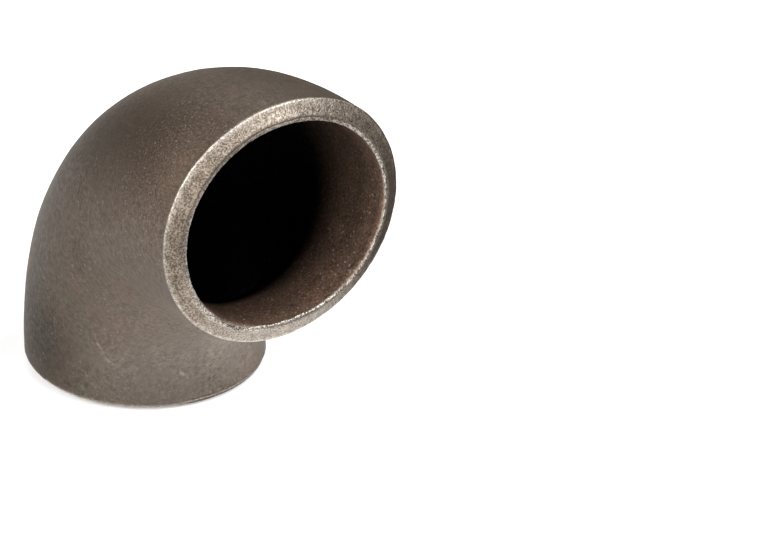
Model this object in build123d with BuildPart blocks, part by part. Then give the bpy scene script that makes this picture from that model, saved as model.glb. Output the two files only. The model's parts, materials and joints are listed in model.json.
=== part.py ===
from build123d import *
import os
from math import radians, tan

# Seamless long-radius 90 degree butt-weld pipe elbow, DN 32 (1 1/4 inch), carbon steel.
# The elbow is one forged-and-bent piece of tube, so it is one solid. Millimetres.
#
# Frame: the origin is the centre of the lower end's root face. +Z runs up the lower
# end's axis, into the elbow, and +X runs out of the upper end along its axis.

# ---- driving dimensions -------------------------------------------------
outside_diameter = 42.4   # pipe series outside diameter
wall_thickness = 3.2      # nominal wall of the matching pipe
centre_to_end = 48.0      # from the crossing of the two end axes to each end
bend_angle = 90.0         # degrees turned by the bend
tangent_length = 1.5      # short straight length faced and bevelled at each end
bevel_angle = 30.0        # weld bevel, degrees from the plane of the end
root_face = 1.0           # width of the flat land left at the bore

# ---- sizes that follow from them ----------------------------------------
outside_radius = outside_diameter / 2
bore_radius = outside_radius - wall_thickness
bend_radius = centre_to_end - tangent_length          # radius of the pipe's centreline
bevel_width = wall_thickness - root_face              # radial width of the bevel
bevel_depth = bevel_width * tan(radians(bevel_angle)) # how far the bevel runs back

# The plane of the upper end, with its normal pointing out along +X
lower_end = Plane.XY
upper_end = Plane(origin=(centre_to_end, 0, centre_to_end), x_dir=(0, 1, 0), z_dir=(1, 0, 0))
lower_bend_start = Plane.XY.offset(tangent_length)
upper_bend_end = upper_end.offset(-tangent_length)
bend_axis = Axis((bend_radius, 0, tangent_length), (0, 1, 0))

with BuildPart() as elbow_body:
    # the bend: the pipe's ring section turned through 90 degrees about the bend's centre
    with BuildSketch(lower_bend_start):
        Circle(outside_radius)
        Circle(bore_radius, mode=Mode.SUBTRACT)
    revolve(axis=bend_axis, revolution_arc=bend_angle)

    # the short straight length at the lower end
    with BuildSketch(lower_bend_start):
        Circle(outside_radius)
        Circle(bore_radius, mode=Mode.SUBTRACT)
    extrude(amount=-tangent_length)

    # the short straight length at the upper end
    with BuildSketch(upper_bend_end):
        Circle(outside_radius)
        Circle(bore_radius, mode=Mode.SUBTRACT)
    extrude(amount=tangent_length)

    # the weld bevels: the outer corner of each end is cut back to leave the root face
    lower_face = elbow_body.faces().sort_by(Axis.Z)[0]
    lower_edge = lower_face.edges().sort_by(SortBy.RADIUS)[-1]
    chamfer(lower_edge, length=bevel_width, length2=bevel_depth, reference=lower_face)
    upper_face = elbow_body.faces().sort_by(Axis.X)[-1]
    upper_edge = upper_face.edges().sort_by(SortBy.RADIUS)[-1]
    chamfer(upper_edge, length=bevel_width, length2=bevel_depth, reference=upper_face)

elbow_body.part.label = "elbow_body"

os.makedirs("parts", exist_ok=True)
export_step(elbow_body.part, "parts/elbow_body.step")

size = elbow_body.part.bounding_box().size
print("elbow_body", "solids", len(elbow_body.part.solids()), "volume", round(elbow_body.part.volume, 1))
print("size", round(size.X, 2), round(size.Y, 2), round(size.Z, 2))
print("faces", [(str(f.geom_type), round(f.area, 2)) for f in elbow_body.part.faces()])
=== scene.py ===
import json
import math

import bpy
import numpy as np
from mathutils import Matrix, Vector


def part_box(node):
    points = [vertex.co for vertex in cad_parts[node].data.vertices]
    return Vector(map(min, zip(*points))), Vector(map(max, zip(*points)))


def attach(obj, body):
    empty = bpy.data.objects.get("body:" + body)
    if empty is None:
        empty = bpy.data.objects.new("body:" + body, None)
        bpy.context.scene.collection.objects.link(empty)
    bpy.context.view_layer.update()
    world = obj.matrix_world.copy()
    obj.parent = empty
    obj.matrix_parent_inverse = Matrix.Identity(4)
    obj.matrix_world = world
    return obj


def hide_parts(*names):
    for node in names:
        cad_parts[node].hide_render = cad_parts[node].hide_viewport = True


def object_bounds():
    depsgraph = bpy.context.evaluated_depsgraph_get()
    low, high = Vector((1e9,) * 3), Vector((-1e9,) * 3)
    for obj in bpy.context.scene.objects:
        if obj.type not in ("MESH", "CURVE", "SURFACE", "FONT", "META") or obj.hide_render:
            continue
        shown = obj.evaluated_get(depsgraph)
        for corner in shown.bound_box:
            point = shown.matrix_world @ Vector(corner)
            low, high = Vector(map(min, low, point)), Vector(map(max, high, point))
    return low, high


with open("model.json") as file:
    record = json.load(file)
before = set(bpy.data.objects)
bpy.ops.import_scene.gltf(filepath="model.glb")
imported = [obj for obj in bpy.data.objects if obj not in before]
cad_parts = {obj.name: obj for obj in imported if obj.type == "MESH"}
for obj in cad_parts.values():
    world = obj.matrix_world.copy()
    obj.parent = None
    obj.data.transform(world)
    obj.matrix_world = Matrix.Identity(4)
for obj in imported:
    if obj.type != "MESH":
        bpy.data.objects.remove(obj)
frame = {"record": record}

cad_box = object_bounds()

# ---------------------------------------------------------------------------
# Sizes, read from the imported record and the CAD node, with the root face and the bevel angle given (millimetres here)
# ---------------------------------------------------------------------------
NODE = "elbow_body"
mounts = {m["name"]: m for m in frame["record"]["mounts"]}
lo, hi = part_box(NODE)
R_OUT = (hi.y - lo.y) * 500.0                          # outside radius
R_IN = mounts["lower_bore"]["dims"]["r_mm"]            # bore radius
C_END = mounts["upper_bore"]["pos_m"][0] * 1000.0      # centre-to-end
TANGENT = mounts["lower_bore"]["dims"]["length_mm"]    # straight length at each end
R_BEND = C_END - TANGENT                               # radius of the centreline
WALL = R_OUT - R_IN
ROOT = 1.0                                             # root face width
BEVEL_D = (WALL - ROOT) * math.tan(math.radians(30.0))  # how far the bevel runs back
ARC = R_BEND * math.pi / 2
S_END = ARC + 2 * TANGENT                              # centreline length


# ---------------------------------------------------------------------------
# Noise: seeded gradient noise on a lattice, so every run gives the same steel
# ---------------------------------------------------------------------------
def _hash(ix, iy, iz, seed):
    h = (
        ix.astype(np.uint64) * np.uint64(374761393)
        + iy.astype(np.uint64) * np.uint64(668265263)
        + iz.astype(np.uint64) * np.uint64(2147483647)
        + np.uint64(seed) * np.uint64(1274126177)
    ) & np.uint64(0xFFFFFFFF)
    h = ((h ^ (h >> np.uint64(13))) * np.uint64(1274126177)) & np.uint64(0xFFFFFFFF)
    h = ((h ^ (h >> np.uint64(16))) * np.uint64(2246822519)) & np.uint64(0xFFFFFFFF)
    return h ^ (h >> np.uint64(15))


def noise3(p, scale, seed):
    """Gradient noise, roughly -1 to 1, with features of about `scale` mm."""
    q = np.asarray(p, float) / scale + 1000.0
    i = np.floor(q).astype(np.int64)
    f = q - i
    w = f * f * f * (f * (f * 6 - 15) + 10)
    out = np.zeros(len(q))
    for dx in (0, 1):
        for dy in (0, 1):
            for dz in (0, 1):
                h = _hash(i[:, 0] + dx, i[:, 1] + dy, i[:, 2] + dz, seed)
                a = (h & np.uint64(0xFFFF)).astype(float) / 65535.0 * 2 * math.pi
                z = ((h >> np.uint64(16)) & np.uint64(0xFFFF)).astype(float) / 65535.0 * 2 - 1
                r = np.sqrt(np.maximum(0.0, 1 - z * z))
                d = (
                    r * np.cos(a) * (f[:, 0] - dx)
                    + r * np.sin(a) * (f[:, 1] - dy)
                    + z * (f[:, 2] - dz)
                )
                wt = (
                    (w[:, 0] if dx else 1 - w[:, 0])
                    * (w[:, 1] if dy else 1 - w[:, 1])
                    * (w[:, 2] if dz else 1 - w[:, 2])
                )
                out += wt * d
    return out * 1.6


def ring_noise(phi, lobes, seed):
    """Noise round a ring: about `lobes` features in a full turn, without a seam."""
    r = lobes / (2 * math.pi)
    p = np.stack([np.cos(phi) * r, np.sin(phi) * r, np.full_like(phi, 0.37)], 1)
    return noise3(p, 1.0, seed)


def smooth(x, a, b):
    t = np.clip((x - a) / (b - a), 0, 1)
    return t * t * (3 - 2 * t)


def hump(phi, at_deg, width_deg):
    """A soft hump of height 1 round a ring, centred at an angle."""
    d = (np.degrees(phi) - at_deg + 180.0) % 360.0 - 180.0
    return np.exp(-0.5 * (d / width_deg) ** 2)


# ---------------------------------------------------------------------------
# The elbow's own coordinates: s along the centreline, phi round the section
# (phi 0 faces the inside of the bend, 90 degrees faces +Y), r from the centreline
# ---------------------------------------------------------------------------
# How this specimen differs from the nominal shape, in mm: the section is a little
# oval (flattened in the bend, as formed elbows are) and the ends are slightly off centre.
OVAL_LOW = (0.222, 0.25)      # cos 2phi and sin 2phi parts at the lower end
OVAL_MID = (-0.50, 0.0)
OVAL_UP_OUT = (-0.134, -0.214)
OVAL_UP_BORE = (-0.194, -0.207)
LOBE_UP = 0.094               # cos 3phi part at the upper end
GROW_LOW, GROW_UP = -0.10, 0.19
SHIFT_LOW = (0.35, 0.18)     # along e1 (+X) and e2 (+Y)
SHIFT_UP_OUT = (-0.13, -0.034)  # along e1 (-Z) and e2 (+Y)
SHIFT_UP_BORE = (-0.10, 0.079)


def place(s, phi, r):
    s, phi, r = np.broadcast_arrays(
        np.asarray(s, float), np.asarray(phi, float), np.asarray(r, float)
    )
    t = np.clip((s - TANGENT) / R_BEND, 0, math.pi / 2)
    before = np.minimum(s - TANGENT, 0.0)
    after = np.maximum(s - TANGENT - ARC, 0.0)
    u = t / (math.pi / 2)
    inner = np.clip((R_OUT - r) / (WALL - ROOT), 0, 1)  # 0 on the skin, 1 from the root face inwards
    mid = 4 * u * (1 - u)
    c2 = OVAL_LOW[0] * (1 - u) + OVAL_MID[0] * mid + u * (OVAL_UP_OUT[0] * (1 - inner) + OVAL_UP_BORE[0] * inner)
    s2 = OVAL_LOW[1] * (1 - u) + OVAL_MID[1] * mid + u * (OVAL_UP_OUT[1] * (1 - inner) + OVAL_UP_BORE[1] * inner)
    grow = (GROW_LOW * (1 - u) + (GROW_UP + 0.18 * hump(phi, 140, 14)) * u * u + 0.16 * hump(phi, 185, 12) * u**12) * (1 - inner)
    rr = r + c2 * np.cos(2 * phi) + s2 * np.sin(2 * phi) + LOBE_UP * u * (1 - inner) * np.cos(3 * phi) + grow
    o1 = SHIFT_LOW[0] * (1 - u) + u * (SHIFT_UP_OUT[0] * (1 - inner) + SHIFT_UP_BORE[0] * inner)
    o2 = SHIFT_LOW[1] * (1 - u) + u * (SHIFT_UP_OUT[1] * (1 - inner) + SHIFT_UP_BORE[1] * inner)
    cx = R_BEND - R_BEND * np.cos(t) + after
    cz = TANGENT + R_BEND * np.sin(t) + before
    rc = rr * np.cos(phi) + o1
    x = cx + rc * np.cos(t)
    z = cz - rc * np.sin(t)
    y = rr * np.sin(phi) + o2
    return np.stack([x, y, z], -1)


def along(s):
    """Unit tangent of the centreline."""
    t = np.clip((np.asarray(s, float) - TANGENT) / R_BEND, 0, math.pi / 2)
    return np.stack([np.sin(t), np.zeros_like(t), np.cos(t)], -1)


def outward(s, phi):
    t = np.clip((s - TANGENT) / R_BEND, 0, math.pi / 2)
    return np.stack([np.cos(phi) * np.cos(t), np.sin(phi), -np.cos(phi) * np.sin(t)], -1)


# ---------------------------------------------------------------------------
# The mesh: rings of points, fine at the two faced ends and coarser on the body
# ---------------------------------------------------------------------------
N_FINE, N_MID, N_BODY = 1024, 512, 256

verts, faces, ring_ids = [], [], []
attrs = {"bevel": [], "land": [], "bore": [], "edge": [], "groove_shade": [], "depth": []}
all_s, all_phi = [], []
count = 0


def add_ring(n, s, r, bevel, land, bore, edge, groove_shade, shift):
    """One ring of n points. s and r may vary round the ring; shift moves points along the surface normal."""
    global count
    phi = np.arange(n) * 2 * math.pi / n
    s = np.broadcast_to(np.asarray(s(phi) if callable(s) else s, float), phi.shape)
    r = np.broadcast_to(np.asarray(r(phi) if callable(r) else r, float), phi.shape)
    p = place(s, phi, r)
    if shift is not None:
        p = p + shift(p, s, phi)
    verts.append(p)
    attrs["bevel"].append(np.full(n, float(bevel)))
    attrs["land"].append(np.full(n, float(land)))
    attrs["bore"].append(np.full(n, float(bore)))
    attrs["edge"].append(np.broadcast_to(np.asarray(edge(phi) if callable(edge) else edge, float), phi.shape))
    attrs["groove_shade"].append(np.broadcast_to(np.asarray(groove_shade(phi) if callable(groove_shade) else groove_shade, float), phi.shape))
    attrs["depth"].append(np.minimum(3 * s, S_END - s) + np.zeros(n))
    all_s.append(s + np.zeros(n))
    all_phi.append(phi)
    ids = np.arange(count, count + n)
    count += n
    ring_ids.append(ids)
    return ids


def join(a, b):
    """Faces between two rings. b holds as many points as a, or twice or half as many."""
    if len(b) == 2 * len(a):
        n = len(a)
        a1 = np.roll(a, -1)
        b0, b1, b2 = b[0::2], b[1::2], np.roll(b, -2)[0::2]
        for q in range(n):
            faces.append((a[q], a1[q], b1[q]))
            faces.append((a[q], b1[q], b0[q]))
            faces.append((a1[q], b2[q], b1[q]))
    elif len(a) == 2 * len(b):
        n = len(b)
        b1 = np.roll(b, -1)
        a0, am, a2 = a[0::2], a[1::2], np.roll(a, -2)[0::2]
        for q in range(n):
            faces.append((b[q], am[q], b1[q]))
            faces.append((b[q], a0[q], am[q]))
            faces.append((b1[q], am[q], a2[q]))
    else:
        a1, b1 = np.roll(a, -1), np.roll(b, -1)
        faces.extend(zip(a.tolist(), a1.tolist(), b1.tolist(), b.tolist()))


rng = np.random.default_rng(20417)


# -- the unevenness of a real, hot-formed and blasted elbow ------------------
dings = []  # (s, phi, radius mm, depth mm, stretch)
for _ in range(26):
    dings.append(
        (
            rng.uniform(4, S_END - 4),
            rng.uniform(0, 2 * math.pi),
            rng.uniform(0.7, 2.6),
            rng.uniform(0.02, 0.08),
        )
    )


def skin_shift(p, s, phi):
    """Normal displacement of the outer skin, in mm: long soft waves, small ripples and a few dings."""
    n = outward(s, phi)
    h = (
        0.070 * noise3(p, 17.0, 11)
        + 0.034 * noise3(p, 7.0, 12)
        + 0.016 * noise3(p, 2.6, 13)
        + 0.008 * noise3(p, 1.1, 14)
    )
    for ds, dphi, rad, deep in dings:
        c = place(np.array([ds]), np.array([dphi]), R_OUT)[0]
        d2 = ((p - c) ** 2).sum(1) / rad**2
        h -= deep * np.exp(-d2 * 1.6)
    quiet = smooth(np.minimum(s, S_END - s), BEVEL_D - 0.2, BEVEL_D + 3.0)
    return n * (h * (0.25 + 0.75 * quiet))[:, None]


def bore_shift(p, s, phi):
    n = -outward(s, phi)
    h = 0.060 * noise3(p, 13.0, 21) + 0.030 * noise3(p, 4.5, 22) + 0.014 * noise3(p, 1.8, 23)
    quiet = smooth(np.minimum(s, S_END - s), 0.4, 4.0)
    return n * (h * (0.3 + 0.7 * quiet))[:, None]


def end_rings(lower):
    """The faced end, as rings from the outer skin, over the bevel and root face, into the bore."""
    seed = 300 if lower else 100
    sgn = 1.0 if lower else -1.0
    s_face = 0.0 if lower else S_END

    def at(back):  # a distance back from the end face
        return s_face + sgn * back

    # the ragged lines of the two bevel edges and of the bore's edge
    outer_line = lambda phi: 0.055 * ring_noise(phi, 90, seed) + 0.035 * ring_noise(phi, 330, seed + 1) + 0.05 * ring_noise(phi, 14, seed + 2)
    land_line = lambda phi: 0.05 * ring_noise(phi, 40, seed + 3) + 0.035 * ring_noise(phi, 220, seed + 4) + 0.04 * ring_noise(phi, 7, seed + 12) + (1 + 0.35 * ring_noise(phi, 26, seed + 30)) * narrow(phi)

    def narrow(phi):
        """How much narrower the root face is than nominal, in mm, as a minus."""
        if lower:
            return 0.0 * phi
        return -0.12 - 0.26 * np.clip(hump(phi, 178, 22) + hump(phi, 222, 24), 0, 1)

    def dull(phi):
        """Where the bore's edge is less bright, 0 to 1."""
        if lower:
            return 0.0 * phi
        return 0.6 * np.clip(hump(phi, 150, 24) + hump(phi, 188, 22) + 0.5 * hump(phi, 225, 20), 0, 1)

    def valley(phi):
        """Where painted shade darkens the root face between the burr and the bevel's foot, 0 to 1."""
        if lower:
            return 0.0 * phi
        return np.clip(hump(phi, 353, 10) + hump(phi, 14, 15), 0, 1)

    def shine(phi):
        """Where the root face carries a painted highlight, 0 to 1."""
        if lower:
            return 0.0 * phi
        return np.clip(hump(phi, 60, 18) + hump(phi, 88, 22) + hump(phi, 128, 20), 0, 1)

    def frost(phi):
        """Where the root face and the bevel's foot glitter with a painted reflection of the bright floor, 0 to 1."""
        if lower:
            return 0.0 * phi
        return np.clip(hump(phi, 320, 20) + 0.4 * hump(phi, 334, 9), 0, 1)

    def mellow(phi):
        """Where the bore's edge is broad and soft, 0 to 1."""
        if lower:
            return 0.0 * phi
        return np.clip(hump(phi, 42, 14) + hump(phi, 78, 18) + 0.5 * hump(phi, 345, 12), 0, 1)

    def crest(phi):
        """Where the bevel's foot carries a painted highlight, as along a ridge, 0 to 1."""
        if lower:
            return 0.0 * phi
        return np.clip(hump(phi, 335, 30), 0, 1)
    bore_line = lambda phi: 0.045 * ring_noise(phi, 36, seed + 5) + 0.030 * ring_noise(phi, 170, seed + 6) + 0.050 * ring_noise(phi, 6, seed + 7) + worn(phi)

    def worn(phi):
        """Where the bore's edge stands further out or in, in mm."""
        if lower:
            return 0.0 * phi
        return (
            0.24 * hump(phi, 46, 13)
            + 0.24 * hump(phi, 88, 17)
            + 0.40 * hump(phi, 329, 8)
            + 0.12 * hump(phi, 310, 9)
            - 0.10 * hump(phi, 268, 14)
            - 0.12 * hump(phi, 8, 18)
            + 0.13 * hump(phi, 38, 18)
            + 0.05 * hump(phi, 62, 12)
            + 0.16 * hump(phi, 90, 14)
            + 0.38 * hump(phi, 332, 8)
            + 0.20 * hump(phi, 40, 13)
            - 0.10 * hump(phi, 175, 14)
        )

    def torn(phi):
        """Where the burr is heavy, 0 to 1. It is heaviest on the inside of the bend at the upper end."""
        base = np.clip(0.5 + 1.3 * ring_noise(phi, 9, seed + 8), 0, 1)
        if lower:
            return 0.6 * base
        return np.clip(0.30 * base + 1.0 * hump(phi, 12, 26) + 0.55 * hump(phi, 85, 30) - 0.50 * hump(phi, 47, 9), 0, 1)

    def cut(phi):
        """How deep the groove at the bevel's foot is, and how much painted shade lies in it, 0 to 1."""
        base = np.clip(0.35 + 0.9 * ring_noise(phi, 8, seed + 14), 0, 1)
        if lower:
            return 0.5 * base
        return np.clip(0.22 * base + hump(phi, 180, 24) + 0.75 * hump(phi, 222, 20) + 0.15 * hump(phi, 262, 14), 0, 1)

    def burr(phi):
        """How far the torn burr leans into the bore, in mm: patches with ragged lumps."""
        lumps = np.clip(0.25 + 1.2 * ring_noise(phi, 75, seed + 9), 0, 1) + 0.5 * np.clip(ring_noise(phi, 210, seed + 10), 0, 1)
        return 0.20 * torn(phi) * lumps

    def proud(phi):
        """How far the burr stands up from the root face, in mm."""
        if lower:
            return 0.0 * phi
        lumps = np.clip(0.45 + 1.1 * ring_noise(phi, 60, seed + 15), 0, 1) + 0.7 * np.clip(ring_noise(phi, 200, seed + 16), 0, 1)
        return 0.14 * torn(phi) * lumps

    def rough(amp, sc, sd):
        def f(p, s, phi):
            n = amp * noise3(p, sc, sd) + amp * 0.7 * noise3(p, sc * 0.45, sd + 1)
            nx = -along(s) if lower else along(s)
            return nx * n[:, None]
        return f

    rows = []

    def row(n, back, r, bevel=0, land=0, bore=0, edge=0, groove_shade=0, shift=None):
        rows.append((n, back, r, bevel, land, bore, edge, groove_shade, shift))

    def rolled(phi):
        """Where the bevel's outer edge is rolled over, in mm, with a band of painted shade along it. Lower end only, on
        the inside of the bend.
        """
        if not lower:
            return 0.0 * phi
        return 0.50 * smooth(np.cos(phi - math.radians(24)), math.cos(math.radians(44)), math.cos(math.radians(24)))

    top = lambda phi: BEVEL_D + outer_line(phi) + rolled(phi) - shallow(phi)
    lip = lambda phi: 0.045 + 0.035 * ring_noise(phi, 60, seed + 11)

    def bright(phi):
        """How bright the outer edge is, 0 to 1: rubbed bare, with painted shade strongest from the +Y side round to the
        top of the upper end.
        """
        if lower:
            return 1.0 + 0.0 * phi
        return 1.0 - 0.20 * hump(phi, 300, 35) - 0.25 * hump(phi, 265, 14) - 0.85 * np.clip(hump(phi, 55, 20) + hump(phi, 95, 24) + 0.8 * hump(phi, 135, 18) + 0.55 * hump(phi, 156, 10), 0, 1)

    def broad(phi):
        """Where the rubbed outer edge is broad, 0 to 1; at the top and on the left the broad band is a painted
        highlight.
        """
        if lower:
            return 0.0 * phi
        return np.clip(0.8 * hump(phi, 182, 11) + hump(phi, 205, 13) + 0.6 * hump(phi, 240, 10), 0, 1)

    def shallow(phi):
        """How much less deep the bevel is cut, in mm: on the outside of the bend at the upper end."""
        if lower:
            return 0.0 * phi
        return 0.40 * hump(phi, 180, 20) + 0.15 * hump(phi, 208, 12)
    # outer skin, coming up to the bevel
    row(N_MID, lambda f: BEVEL_D + 1.55, R_OUT, shift=skin_shift)
    row(N_MID, lambda f: BEVEL_D + 1.0, R_OUT, shift=skin_shift)
    row(N_FINE, lambda f: top(f) + 0.60, R_OUT, edge=0.0, shift=skin_shift)
    row(N_FINE, lambda f: top(f) + 0.34, lambda f: R_OUT + 0.3 * lip(f), edge=lambda f: (0.25 if lower else 0.06) * bright(f), shift=skin_shift)
    row(N_FINE, lambda f: top(f) + 0.16, lambda f: R_OUT + 0.9 * lip(f), edge=lambda f: (0.65 if lower else 0.45) * bright(f), shift=skin_shift)
    row(N_FINE, lambda f: top(f) + 0.04, lambda f: R_OUT + 0.8 * lip(f) - 0.03, bevel=0.35, edge=bright)
    row(N_FINE, lambda f: top(f) - 0.07 - 0.10 * rolled(f), lambda f: R_OUT - 0.12 + 0.4 * lip(f) + 0.10 * rolled(f), bevel=0.8, edge=lambda f: bright(f) * (1 - 1.8 * rolled(f)), groove_shade=lambda f: 1.9 * rolled(f))
    row(N_FINE, lambda f: top(f) - 0.17 - 1.0 * rolled(f), lambda f: R_OUT - 0.30 + 0.15 * rolled(f), bevel=1, edge=lambda f: (0.5 + 0.35 * broad(f)) * bright(f) * (1 - 2 * rolled(f)), groove_shade=lambda f: 2.0 * rolled(f))
    # the bevel
    r_land = R_IN + ROOT
    for t in (0.24, 0.38, 0.52, 0.66, 0.80):
        row(
            N_FINE,
            lambda f, t=t: (1 - t) * (top(f) - rolled(f)) + t * 0.02 + 0.03 * math.sin(math.pi * t),
            lambda f, t=t: (1 - t) * R_OUT + t * (r_land + land_line(f)),
            bevel=1,
            edge=(lambda f: 0.12 + 0.30 * broad(f)) if t < 0.3 else 0.0,
            shift=rough(0.020, 0.75, seed + 40),
        )
    # the bevel's foot, a narrow groove, then the root face
    row(N_FINE, lambda f: 0.15, lambda f: r_land + land_line(f) + 0.24, bevel=1, edge=lambda f: 0.25 * crest(f) + 0.25 * frost(f), groove_shade=lambda f: 0.4 * cut(f), shift=rough(0.016, 0.6, seed + 40))
    row(N_FINE, lambda f: 0.09 + 0.05 * cut(f), lambda f: r_land + land_line(f) + 0.11, bevel=0.9, land=0.1, edge=lambda f: 0.45 * crest(f) + 0.30 * frost(f), groove_shade=lambda f: 0.9 * cut(f))
    row(N_FINE, lambda f: 0.05 + 0.13 * cut(f), lambda f: r_land + land_line(f) + 0.01, bevel=0.5, land=0.5, edge=lambda f: 0.55 * crest(f) + 0.30 * frost(f), groove_shade=cut)
    row(N_FINE, lambda f: 0.04 + 0.10 * cut(f), lambda f: r_land + land_line(f) - 0.09, bevel=0.2, land=0.8, edge=lambda f: 0.70 * frost(f), groove_shade=lambda f: 0.85 * cut(f))
    row(N_FINE, lambda f: 0.015, lambda f: r_land + land_line(f) - 0.20, land=1, edge=lambda f: np.clip(0.50 * shine(f) + 0.55 * frost(f), 0, 1), groove_shade=lambda f: 0.3 * cut(f) + 0.35 * valley(f), shift=rough(0.012, 0.7, seed + 60))
    row(N_FINE, lambda f: 0.0, lambda f: R_IN + 0.5 + 0.4 * land_line(f), land=1, edge=lambda f: np.clip(0.60 * shine(f) + 0.45 * frost(f), 0, 1), groove_shade=lambda f: 0.95 * valley(f), shift=rough(0.014, 0.7, seed + 60))
    row(N_FINE, lambda f: -0.55 * proud(f), lambda f: R_IN + 0.26 + bore_line(f), land=1, edge=lambda f: np.clip(0.30 + 0.5 * proud(f) / 0.14 + 0.6 * shine(f), 0, 1) * (1 - dull(f)) * (1 - 0.25 * mellow(f)), groove_shade=lambda f: 0.75 * valley(f), shift=rough(0.012, 0.5, seed + 60))
    # the bore's edge and its burr
    row(N_FINE, lambda f: 0.035 - proud(f), lambda f: R_IN + 0.10 + bore_line(f) - 0.55 * burr(f), land=0.7, edge=lambda f: 0.9 * (1 - dull(f)) * (1 - 0.35 * mellow(f)))
    row(N_FINE, lambda f: 0.13 - 0.5 * proud(f), lambda f: R_IN + 0.01 + 0.8 * bore_line(f) - burr(f), land=0.35, bore=0.4, edge=lambda f: (1 - dull(f)) * (1 - 0.75 * mellow(f)))
    row(N_FINE, lambda f: 0.27, lambda f: R_IN - 0.01 + 0.5 * bore_line(f) - 0.7 * burr(f), bore=0.8, edge=lambda f: 0.55 * (1 - 0.95 * mellow(f)))
    row(N_FINE, lambda f: 0.50, lambda f: R_IN + 0.3 * bore_line(f) - 0.2 * burr(f), bore=1, edge=lambda f: 0.12 * (1 - mellow(f)))
    row(N_FINE, lambda f: 0.85, R_IN, bore=1, shift=bore_shift)
    row(N_MID, lambda f: 1.35, R_IN, bore=1, shift=bore_shift)
    row(N_MID, lambda f: 2.0, R_IN, bore=1, shift=bore_shift)

    ids = []
    for n, back, r, bevel, land, bore, edge, groove_shade, shift in (rows if not lower else rows[::-1]):
        ids.append(add_ring(n, lambda f, b=back: at(b(f)), r, bevel, land, bore, edge, groove_shade, shift))
    return ids


# the outer skin from the lower end up, over the upper end, and back down the bore
chain = []
edge_lo, edge_hi = BEVEL_D + 2.4, S_END - BEVEL_D - 2.4
N_SKIN, N_BORE = 98, 78
for s in np.linspace(edge_lo, edge_hi, N_SKIN):
    chain.append(add_ring(N_BODY, s, R_OUT, 0, 0, 0, 0, 0, skin_shift))
chain += end_rings(lower=False)
for s in np.linspace(S_END - 3.0, 3.0, N_BORE):
    chain.append(add_ring(N_BODY, s, R_IN, 0, 0, 1, 0, 0, bore_shift))
chain += end_rings(lower=True)
for a, b in zip(chain, chain[1:] + chain[:1]):
    join(a, b)

co = np.concatenate(verts)
for k in attrs:
    attrs[k] = np.concatenate(attrs[k])

# ---------------------------------------------------------------------------
# The finish from place to place: a few soft patches of lighter and darker oxide, and painted light and shade on the
# skin, the ring and in the bore
# ---------------------------------------------------------------------------
all_s, all_phi = np.concatenate(all_s), np.concatenate(all_phi)


def spot(x, y, z, radius):
    return np.exp(-0.5 * ((co - (x, y, z)) ** 2).sum(1) / radius**2)


# lighter and darker patches on the skin: partly oxide, partly painted light and shade
oxide_and_painted_light_shade = (
    -0.50 * spot(2, -21, 11, 8)       # painted shade low on the outside of the leg
    - 0.30 * spot(17.5, -21.3, 33.5, 2.0)  # a smudge
    - 0.19 * spot(10, -21, 33, 13)
    - 0.12 * spot(37, -20, 38, 8)
    - 0.15 * spot(28, -11, 62, 12)
    - 0.10 * spot(10, -14, 52, 6)
    - 0.05 * spot(12, -21, 42, 9)
    - 0.08 * spot(31, -20, 38, 9)
    - 0.14 * spot(46, -18, 41, 5)
    - 0.06 * spot(10, -21, 27, 9)
    # painted shade low on the outside of the leg
    - 0.22 * spot(0, -21, 8, 6)
    - 0.14 * spot(19, -18, 52, 7)
    - 0.16 * spot(38, -6, 68, 7)
    + 0.42 * spot(44, -16.3, 62, 5.0)   # lighter beside the bevel
    + 0.12 * spot(46.7, -20, 57.5, 5)
    + 0.12 * spot(43, 2, 69, 5)
    # the next lighter patches, low on the inside of the bend, are painted light
    + 0.22 * spot(19, -10, 13, 9)
    + 0.16 * spot(14, -16, 10, 3.5)
    + 0.06 * spot(27, -13, 23, 7)
    + 0.36 * spot(22.5, 4, 15, 4.5)
    + 0.14 * spot(19.5, 11, 8, 3.5)
    + 0.14 * spot(19, 11, 4, 4)
    # darker just above the floor: painted shade
    - 0.16 * spot(18, -11, 2, 5)
    - 0.12 * spot(21, -2, 2, 4)
)
red = 1.0 * spot(37, -17, 60, 9) + 0.4 * spot(44, -12, 65, 8)
grey = 0.5 * spot(21, 8, 6, 7) + 0.6 * spot(17, -12, 6, 9) + 0.6 * spot(-4, -20, 30, 8) + 0.9 * spot(21, -4, 12, 9)
high = all_phi * 0 + (all_s > S_END / 2)   # 1 on the upper half, 0 on the lower
# painted light and shade round the upper ring: lighter or darker by angle, as the light falls on the bevel
ring_painted_light_shade = high * (
    0.22 * hump(all_phi, 335, 22)
    + 0.17 * hump(all_phi, 5, 16)
    + 0.70 * hump(all_phi, 184, 15)
    + 0.06 * hump(all_phi, 225, 14)
    + 0.10 * hump(all_phi, 242, 12)
    - 0.30 * hump(all_phi, 270, 15)
    - 0.15 * hump(all_phi, 62, 16)
    + 0.36 * hump(all_phi, 46, 8)
    - 0.10 * hump(all_phi, 120, 15)
)
# inside, painted light and shade: lighter on the inside of the bend, darker on the other side, and deeper in a painted
# shadow of the rim that fades the scale almost to black
turn = np.degrees(all_phi)
clear = np.interp(turn, [0, 20, 60, 120, 200, 322, 340, 360], [18, 21, 20, 17, 10, 7, 11, 18])
bore_painted_light_shade = np.exp(high * (0.76 * hump(all_phi, 8, 42) - 0.22 * hump(all_phi, 55, 18) * (1 - smooth(S_END - all_s, 0.0, 4.0)) - 0.60 * hump(all_phi, 48, 11) * (1 - smooth(S_END - all_s, 0.4, 2.2)) + 0.10 * hump(all_phi, 90, 40) - 0.40 * hump(all_phi, 151, 16) - 0.30 * hump(all_phi, 321, 11))) * (1 - 0.97 * smooth(S_END - all_s, clear, clear + 8))
attrs["grey"] = np.clip(grey, 0, 1)
attrs["bore_painted_light_shade"] = bore_painted_light_shade
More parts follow.
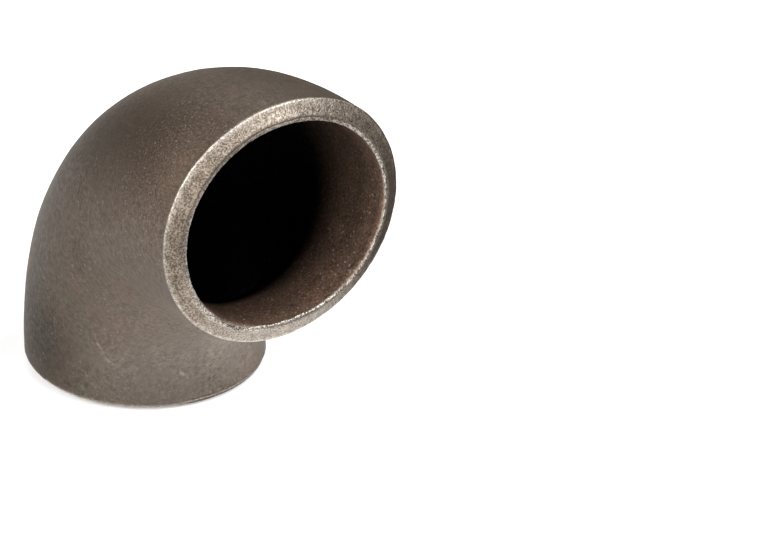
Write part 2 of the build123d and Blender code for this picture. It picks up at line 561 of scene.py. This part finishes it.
# how strongly the blasted grain shows: strongest beside the upper bevel
attrs["grainy"] = 0.76 - 0.06 * np.cos(all_phi) + 0.15 * spot(39, -17, 60, 9) - 0.34 * spot(30, -7, 66, 10) - 0.18 * spot(34, -13, 63, 6) - 0.08 * spot(30, -19, 55, 7)
# where the fine grain shows beside the upper bevel, with its painted glints
attrs["sparkle"] = np.clip(1.0 * spot(39, -17, 60, 8) + 0.25 * spot(44, -9, 67, 8) + 0.12 * spot(28, -18, 54, 10), 0, 1)
attrs["dapple"] = 1.0 + high * (0.05 * hump(all_phi, 240, 36) + 0.15 * hump(all_phi, 275, 20) - 0.30 * hump(all_phi, 350, 36) - 0.60 * hump(all_phi, 88, 34) - 0.12 * hump(all_phi, 182, 20) + 0.25 * hump(all_phi, 158, 15))
attrs["yellow"] = np.clip(0.9 * spot(22, -16, 57, 9) + 0.35 * spot(12, -20, 46, 7) + 0.7 * spot(12, -13, 54, 8) + 0.4 * spot(20, -20, 32, 9), 0, 1)
attrs["oxide_and_painted_light_shade"] = np.exp(oxide_and_painted_light_shade)
attrs["red"] = np.clip(red, 0, 1)
attrs["ring_painted_light_shade"] = np.exp(ring_painted_light_shade)
# where the ring is blasted whiter
attrs["pale"] = high * np.clip(hump(all_phi, 178, 34) + hump(all_phi, 350, 40), 0, 1)
# painted shade on the root face at the top and top left of the upper end
attrs["land_painted_shade"] = np.exp(high * -0.62 * np.clip(hump(all_phi, 182, 22) + 0.45 * hump(all_phi, 222, 24), 0, 1))

mesh = bpy.data.meshes.new("steel_elbow")
mesh.from_pydata((co / 1000.0).tolist(), [], [tuple(int(i) for i in f) for f in faces])
mesh.update()
for k, v in attrs.items():
    mesh.attributes.new(k, "FLOAT", "POINT").data.foreach_set("value", v.astype(np.float32))
mesh.polygons.foreach_set("use_smooth", [True] * len(mesh.polygons))
elbow = bpy.data.objects.new("steel_elbow", mesh)
bpy.context.scene.collection.objects.link(elbow)

# faces must look outwards
import bmesh

bm = bmesh.new()
bm.from_mesh(mesh)
bmesh.ops.recalc_face_normals(bm, faces=bm.faces)
print("closed mesh:", all(e.is_manifold for e in bm.edges), "volume mm3", round(bm.calc_volume() * 1e9, 1))
bm.to_mesh(mesh)
bm.free()
print("verts", len(mesh.vertices), "triangles", sum(len(p.vertices) - 2 for p in mesh.polygons))


# ---------------------------------------------------------------------------
# Material: shot-blasted carbon steel
# ---------------------------------------------------------------------------
mat = bpy.data.materials.new("shot_blasted_steel")
mat.use_nodes = True
nt = mat.node_tree
nt.nodes.clear()


def node(kind, **inputs):
    n = nt.nodes.new(kind)
    for k, v in inputs.items():
        if k.startswith("p_"):
            setattr(n, k[2:], v)
    for k, v in inputs.items():
        if not k.startswith("p_"):
            key = int(k[1:]) if k[0] == "i" and k[1:].isdigit() else k
            if hasattr(v, "is_linked"):
                nt.links.new(v, n.inputs[key])
            else:
                n.inputs[key].default_value = v
    return n


def math_(op, a, b=0.0, clamp=False):
    n = node("ShaderNodeMath", p_operation=op, p_use_clamp=clamp, i0=a, i1=b)
    return n.outputs[0]


def mix_rgb(fac, a, b, blend="MIX"):
    n = nt.nodes.new("ShaderNodeMix")
    n.data_type = "RGBA"
    n.blend_type = blend
    for sock, v in (("Factor_Float", fac), ("A_Color", a), ("B_Color", b)):
        s = next(x for x in n.inputs if x.identifier == sock)
        if hasattr(v, "is_linked"):
            nt.links.new(v, s)
        else:
            s.default_value = v if sock == "Factor_Float" else (*v, 1.0)
    return next(x for x in n.outputs if x.identifier == "Result_Color")


def remap(x, a, b, c=0.0, d=1.0, smooth_=True):
    n = node(
        "ShaderNodeMapRange",
        p_interpolation_type="SMOOTHSTEP" if smooth_ else "LINEAR",
        i0=x, i1=a, i2=b, i3=c, i4=d,
    )
    return n.outputs[0]


def noise_tex(size_mm, detail=2.0, rough=0.5, lac=2.0, distortion=0.0, offset=0.0):
    vec = coords
    if offset:
        vec = node("ShaderNodeVectorMath", p_operation="ADD", i0=coords, i1=(offset, offset * 1.7, -offset)).outputs[0]
    n = node("ShaderNodeTexNoise", Vector=vec, Scale=1000.0 / size_mm, Detail=detail, Roughness=rough, Lacunarity=lac, Distortion=distortion)
    return n.outputs["Fac"]


def attr(name):
    n = nt.nodes.new("ShaderNodeAttribute")
    n.attribute_name = name
    return n.outputs["Fac"]


coords = nt.nodes.new("ShaderNodeTexCoord").outputs["Object"]
a_bevel, a_land, a_bore, a_edge, a_groove_shade, a_depth = (attr(k) for k in ("bevel", "land", "bore", "edge", "groove_shade", "depth"))
a_oxide_and_painted_light_shade, a_red, a_grey, a_yellow, a_ring_painted_light_shade, a_bore_painted_light_shade, a_grainy, a_sparkle, a_dapple, a_land_painted_shade, a_pale = (
    attr(k) for k in ("oxide_and_painted_light_shade", "red", "grey", "yellow", "ring_painted_light_shade", "bore_painted_light_shade", "grainy", "sparkle", "dapple", "land_painted_shade", "pale")
)


def level(x, gain):
    """Turns a noise value about 0.5 into a brightness factor about 1."""
    return math_("ADD", math_("MULTIPLY", math_("SUBTRACT", x, 0.5), gain), 1.0)


def times(col, fac):
    """A colour times a number, channel by channel."""
    n = nt.nodes.new("ShaderNodeVectorMath")
    n.operation = "SCALE"
    nt.links.new(col, n.inputs[0])
    nt.links.new(fac, n.inputs["Scale"])
    return n.outputs[0]


# the blasted grain, at three sizes, and the larger patches of oxide
grain = noise_tex(0.40, detail=0.0)
grain2 = noise_tex(0.85, detail=0.0, offset=0.31)
grain3 = noise_tex(2.2, detail=1.0, rough=0.6, offset=0.53)
patch = noise_tex(5.0, detail=2.0, rough=0.55, offset=0.77)
blotch = noise_tex(11.0, detail=2.0, rough=0.5, offset=1.9)
blotch2 = noise_tex(19.0, detail=2.0, rough=0.5, offset=4.2)

# outer skin: pinkish brown and olive grey oxide, with bright points where the shot has bared the steel, which also
# serve as painted glints
warm = (0.1200, 0.0895, 0.0702)
olive = (0.1088, 0.0900, 0.0676)
cool = (0.1080, 0.0895, 0.0742)
skin = mix_rgb(remap(patch, 0.36, 0.64), warm, olive)
skin = mix_rgb(remap(blotch2, 0.50, 0.66, 0.0, 0.5), skin, cool)
skin = mix_rgb(math_("MULTIPLY", a_grey, 0.8), skin, (0.1070, 0.0900, 0.0770))
skin = mix_rgb(a_yellow, skin, (0.1225, 0.0905, 0.0665))
# the skin's oxide patches, with painted light and shade among them
skin = times(mix_rgb(math_("MULTIPLY", a_red, 0.8), skin, (0.1230, 0.0860, 0.0640)), a_oxide_and_painted_light_shade)
rubbed = math_("MULTIPLY", remap(blotch, 0.38, 0.62, 0.5, 1.1), a_grainy)  # where the grain stands out, against where it is smoothed over
fine = math_("ADD", math_("MULTIPLY", math_("SUBTRACT", grain, 0.5), 1.05), math_("MULTIPLY", math_("SUBTRACT", grain2, 0.5), 0.55))
coarse = math_("MULTIPLY", math_("SUBTRACT", grain3, 0.5), 0.22)
skin = times(skin, math_("ADD", math_("ADD", math_("MULTIPLY", fine, rubbed), coarse), 1.0))
points = noise_tex(0.50, detail=0.0, offset=7.7)
skin = mix_rgb(math_("MULTIPLY", remap(points, 0.70, 0.82, 0.0, 0.7), rubbed), skin, (0.23, 0.195, 0.165))
# beside the upper bevel the blast has left a fine grain, with painted glints among it
crystal_a = noise_tex(0.27, detail=0.0, offset=2.3)
glints = remap(noise_tex(0.33, detail=0.0, offset=9.1), 0.67, 0.80, 0.0, 0.9)
swing = math_("SUBTRACT", crystal_a, 0.5)
swing = math_("ADD", math_("MULTIPLY", math_("MAXIMUM", swing, 0.0), 1.8), math_("MULTIPLY", math_("MINIMUM", swing, 0.0), 0.8))
skin = times(skin, math_("ADD", math_("MULTIPLY", swing, a_sparkle), 1.0))
skin = mix_rgb(math_("MULTIPLY", glints, a_sparkle), skin, (0.29, 0.245, 0.205))


def stroke(a, b, width):
    """1 along a short stroke from a to b, 0 away from it. All in mm."""
    a, b = Vector(a) / 1000, Vector(b) / 1000
    ab = b - a
    ap = node("ShaderNodeVectorMath", p_operation="SUBTRACT", i0=coords, i1=tuple(a)).outputs[0]
    f = node("ShaderNodeVectorMath", p_operation="DOT_PRODUCT", i0=ap, i1=tuple(ab / ab.length_squared)).outputs["Value"]
    f = math_("ADD", f, 0.0, clamp=True)
    foot = node("ShaderNodeVectorMath", p_operation="SCALE", i0=tuple(ab), Scale=f).outputs[0]
    d = node("ShaderNodeVectorMath", p_operation="DISTANCE", i0=ap, i1=foot).outputs["Value"]
    return remap(d, 0.0, width / 1000, 1.0, 0.0)


# two light scuffs low on the leg
scuffs = math_("MAXIMUM", stroke((15.0, -16.9, 14.0), (15.8, -15.1, 10.3), 0.45), stroke((21.5, -4.6, 8.0), (21.6, -3.2, 6.8), 0.6))
scuffs = math_("MAXIMUM", scuffs, math_("MULTIPLY", stroke((15.2, -16.2, 12.0), (16.6, -14.6, 9.9), 0.7), 0.5))
skin = mix_rgb(math_("MULTIPLY", scuffs, remap(grain2, 0.35, 0.6, 0.30, 1.0)), skin, (0.195, 0.170, 0.148))

# bevel and root face: faced, then blasted with the rest, so lighter and crystalline
crystal_b = noise_tex(0.46, detail=0.0, offset=5.2)
crystal = math_("ADD", math_("MULTIPLY", crystal_a, 0.74), math_("MULTIPLY", crystal_b, 0.26))
crystal2 = noise_tex(1.0, detail=1.0, rough=0.5, offset=3.1)
crystal_l = math_("ADD", math_("MULTIPLY", math_("MULTIPLY", math_("SUBTRACT", crystal, 0.5), 3.3), a_dapple), 0.5, clamp=True)
metal = mix_rgb(crystal_l, (0.078, 0.058, 0.040), (0.214, 0.175, 0.138))
metal = mix_rgb(a_pale, metal, mix_rgb(crystal_l, (0.079, 0.063, 0.048), (0.205, 0.179, 0.155)))
crystal3 = noise_tex(1.9, detail=0.0, offset=6.6)
flecks = math_("ADD", math_("MULTIPLY", math_("SUBTRACT", crystal2, 0.5), 0.75), math_("MULTIPLY", math_("SUBTRACT", crystal3, 0.5), 0.5))
metal = times(metal, math_("ADD", math_("MULTIPLY", flecks, a_dapple), 1.0))
land = times(mix_rgb(crystal_l, (0.076, 0.062, 0.050), (0.196, 0.172, 0.151)), level(crystal2, 0.4))
# painted light and shade on the bevel and root face
metal = times(metal, a_ring_painted_light_shade)
land = times(times(land, a_ring_painted_light_shade), a_land_painted_shade)

# bore: darker, redder scale, with bared points near the mouth
scale_c = mix_rgb(remap(patch, 0.38, 0.62), (0.085, 0.052, 0.037), (0.073, 0.048, 0.035))
scale_c = times(scale_c, level(grain, 1.2))
scale_c = times(scale_c, level(grain2, 0.7))
scale_c = times(scale_c, level(grain3, 0.7))
scale_c = mix_rgb(remap(points, 0.72, 0.80, 0.0, 0.6), scale_c, (0.25, 0.21, 0.18))
# painted light near the mouth, up to 1.7 times brighter, and painted shade deeper in, fading the scale almost to black,
# then the bore's painted light and shade by angle and depth
scale_c = times(scale_c, remap(a_depth, 0.0, 7.5, 1.7, 1.0, smooth_=False))
scale_c = times(times(scale_c, remap(a_depth, 9.0, 26.0, 1.0, 0.002)), a_bore_painted_light_shade)

# bare bright metal along the edges
lip_c = mix_rgb(remap(crystal, 0.36, 0.60), (0.27, 0.238, 0.204), (0.365, 0.332, 0.292))
burr_c = mix_rgb(remap(crystal, 0.40, 0.58), (0.125, 0.105, 0.086), (0.50, 0.460, 0.410))
edge_c = times(mix_rgb(remap(a_land, 0.1, 0.5), lip_c, burr_c), level(crystal2, 0.5))

col = mix_rgb(a_bore, skin, scale_c)
col = mix_rgb(a_bevel, col, metal)
col = mix_rgb(a_land, col, land)
# painted shade: a near-black brown laid into the groove at the bevel's foot, between the burr and the bevel, and along
# the rolled lower edge
col = mix_rgb(math_("MULTIPLY", a_groove_shade, 0.85), col, (0.040, 0.030, 0.023))
# the edge factor carries the painted highlights, reflection and shade of bright, broad, shine, frost and crest
edge_fac = math_("MULTIPLY", a_edge, math_("MULTIPLY", remap(crystal2, 0.34, 0.58, 0.75, 1.0), remap(crystal, 0.36, 0.60, 0.70, 1.0)))
col = mix_rgb(edge_fac, col, edge_c)

# relief: fine blast craters, deeper on the faced ends
bare = math_("MAXIMUM", a_bevel, a_land)
relief = math_("ADD", math_("MULTIPLY", grain, 0.030), math_("MULTIPLY", grain2, 0.035))
relief = math_("ADD", relief, math_("MULTIPLY", math_("MULTIPLY", crystal, bare), 0.080))
bump = node("ShaderNodeBump", Strength=0.9, Distance=0.001, Height=relief)

rough_v = math_("SUBTRACT", remap(grain2, 0.3, 0.7, 0.66, 0.58, smooth_=False), math_("MULTIPLY", bare, 0.15))
bsdf = node("ShaderNodeBsdfPrincipled", Roughness=rough_v, Normal=bump.outputs[0])
bsdf.inputs["Metallic"].default_value = 1.0
nt.links.new(col, bsdf.inputs["Base Color"])
bsdf.inputs["Specular IOR Level"].default_value = 0.4
out = nt.nodes.new("ShaderNodeOutputMaterial")
nt.links.new(bsdf.outputs[0], out.inputs["Surface"])
mesh.materials.append(mat)

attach(elbow, "root")
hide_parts(NODE)

# ---------------------------------------------------------------------------
# Floor, light and camera
# ---------------------------------------------------------------------------
floor_mesh = bpy.data.meshes.new("floor")
w = 0.5
ring = [(w * math.cos(a), w * math.sin(a), 0) for a in (math.pi * k / 64 for k in range(128))]
floor_mesh.from_pydata(ring, [], [tuple(range(128))])
floor = bpy.data.objects.new("floor", floor_mesh)
bpy.context.scene.collection.objects.link(floor)
floor.location.z = cad_box[0].z - 0.0001
fmat = bpy.data.materials.new("pale_floor")
fmat.use_nodes = True
fb = fmat.node_tree.nodes["Principled BSDF"]
fb.inputs["Base Color"].default_value = (0.88, 0.88, 0.88, 1)
fb.inputs["Roughness"].default_value = 0.9
fb.inputs["Emission Color"].default_value = (1, 1, 1, 1)
fb.inputs["Emission Strength"].default_value = 0.05
floor_mesh.materials.append(fmat)

# a white backdrop all round, which adds only a little light of its own
world = bpy.data.worlds.new("studio")
bpy.context.scene.world = world
world.use_nodes = True
wt = world.node_tree
backdrop = wt.nodes["Background"]
backdrop.inputs["Color"].default_value = (1, 1, 1, 1)
seen = wt.nodes.new("ShaderNodeLightPath").outputs["Is Camera Ray"]
level_w = wt.nodes.new("ShaderNodeMapRange")
wt.links.new(seen, level_w.inputs[0])
level_w.inputs[3].default_value = 0.03
level_w.inputs[4].default_value = 1.0
wt.links.new(level_w.outputs[0], backdrop.inputs["Strength"])

centre = Vector((0.016, 0.0, 0.034))
ahead = Vector((-0.8368, 0.5475, 0.0))   # level, from the camera to the object
right = Vector((0.5475, 0.8368, 0.0))


def softbox(name, turn, height, power, size=0.7, distance=1.3, colour=(1, 1, 1)):
    """A round soft light. turn is degrees to the right of the camera, height is degrees up."""
    data = bpy.data.lights.new(name, "AREA")
    data.shape = "DISK"
    data.size = size
    data.energy = power
    data.color = colour
    ob = bpy.data.objects.new(name, data)
    a, e = math.radians(turn), math.radians(height)
    d = ((right * math.sin(a) - ahead * math.cos(a)) * math.cos(e) + Vector((0, 0, 1)) * math.sin(e)).normalized()
    ob.location = centre + d * distance
    ob.rotation_mode = "QUATERNION"
    ob.rotation_quaternion = d.to_track_quat("Z", "Y")
    ob.visible_camera = False
    bpy.context.scene.collection.objects.link(ob)
    return ob


softbox("front", -18, 35, 20.0)
softbox("left_low", -36, 8, 12.0)
softbox("right_low", 36, 8, 4.0)
softbox("right", 54, 35, 19.0)
softbox("right_back", 126, 35, 9.0)
softbox("back_left", 200, 35, 5.0)
softbox("left", 270, 40, 2.0)

# light from below, in front of the upper mouth and inside the bend, as from a white table
for name, (gx, gy), size, power in (("table_glow", (0.068, -0.022), 0.08, 0.012), ("table_glow_in", (0.038, 0.017), 0.032, 0.0022)):
    low = bpy.data.lights.new(name, "AREA")
    low.shape = "DISK"
    low.size = size
    low.energy = power
    glow = bpy.data.objects.new(name, low)
    glow.location = (gx, gy, cad_box[0].z + 0.0004)
    glow.rotation_mode = "QUATERNION"
    glow.rotation_quaternion = Vector((0, 0, -1)).to_track_quat("Z", "Y")
    glow.visible_camera = False
    bpy.context.scene.collection.objects.link(glow)

# dark cards beside the elbow, out of every view, that keep the far side of the bevel dark
cmat = bpy.data.materials.new("dark_card")
cmat.use_nodes = True
cb = cmat.node_tree.nodes["Principled BSDF"]
cb.inputs["Base Color"].default_value = (0.06, 0.06, 0.06, 1)
cb.inputs["Roughness"].default_value = 0.9
for name, (x0, y0), (x1, y1), top_z in (
    ("card_far", (-0.10, 0.060), (0.07, 0.075), 0.075),
    ("card_near", (0.018, 0.038), (0.062, 0.038), 0.050),
):
    card_mesh = bpy.data.meshes.new(name)
    card_mesh.from_pydata([(x0, y0, 0.0), (x1, y1, 0.0), (x1, y1, top_z), (x0, y0, top_z)], [], [(0, 1, 2, 3)])
    card_mesh.materials.append(cmat)
    card = bpy.data.objects.new(name, card_mesh)
    bpy.context.scene.collection.objects.link(card)
    card.visible_camera = False
    card.visible_shadow = False
    card.visible_diffuse = False

cam_data = bpy.data.cameras.new("camera")
cam_data.sensor_width = 36.0
cam_data.lens = 155.36
cam_data.clip_start, cam_data.clip_end = 0.01, 100.0
cam = bpy.data.objects.new("camera", cam_data)
cam.location = (0.441472, -0.238449, 0.299859)
cam.rotation_mode = "QUATERNION"
cam.rotation_quaternion = (0.753273, 0.446569, 0.232789, 0.423044)
bpy.context.scene.collection.objects.link(cam)
bpy.context.scene.camera = cam
bpy.context.scene.view_settings.view_transform = "Standard"
